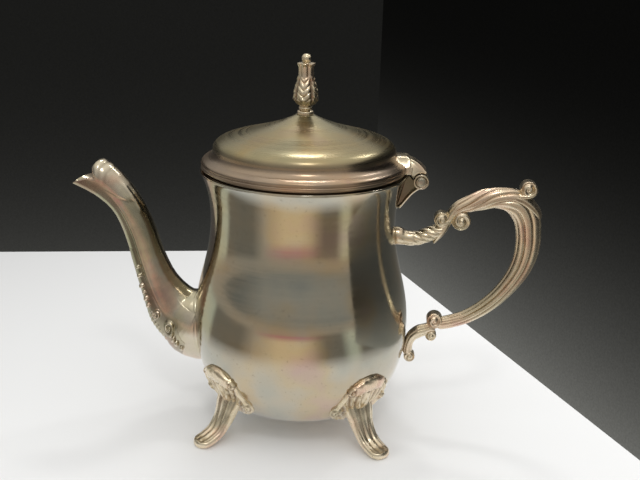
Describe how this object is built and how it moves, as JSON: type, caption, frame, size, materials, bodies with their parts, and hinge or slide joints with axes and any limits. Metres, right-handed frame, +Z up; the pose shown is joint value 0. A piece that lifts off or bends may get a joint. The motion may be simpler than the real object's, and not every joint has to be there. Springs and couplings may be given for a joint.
{
  "type": "footed teapot",
  "caption": "Silver-plated pear-shaped teapot on four leaf feet, with a cast spout, a scroll handle and a hinged domed lid with a leaf finial.",
  "frame": {"origin": "on the table, under the middle of the pot's bounding box, which is the axis of the body", "axes": "+X from the pot's axis towards the handle and the hinge, -X towards the spout, +Z up along the body's axis"},
  "size_m": [0.2386, 0.111, 0.191],
  "materials": {
    "spun_silver_plate": "electroplated silver on spun brass sheet, polished, lightly tarnished and finely scratched",
    "cast_silver_plate": "electroplated silver on cast base metal, satin in the recesses, polished on the ridges",
    "hinge_pin_wire": "drawn wire, riveted over at both ends, plated",
    "bare_brass": "turned brass, unplated"
  },
  "bodies": {
    "pot": {"body": "spun_silver_plate", "base_plate": "spun_silver_plate", "spout": "cast_silver_plate", "spout_scroll": "cast_silver_plate", "handle": "cast_silver_plate", "foot_front_left": "cast_silver_plate", "foot_front_right": "cast_silver_plate", "foot_back_left": "cast_silver_plate", "foot_back_right": "cast_silver_plate", "hinge_bracket": "cast_silver_plate", "hinge_pin": "hinge_pin_wire"},
    "lid": {"lid": "spun_silver_plate", "lid_bezel": "spun_silver_plate", "lid_strap": "cast_silver_plate", "finial": "cast_silver_plate", "finial_washer": "bare_brass", "finial_nut": "bare_brass"}
  },
  "joints": [
    {"name": "lid_hinge", "type": "hinge", "parent": "pot", "child": "lid", "pos_m": [0.0585, 0, 0.1314], "axis": [0, 1, 0], "range_deg": [0, 100]}
  ]
}
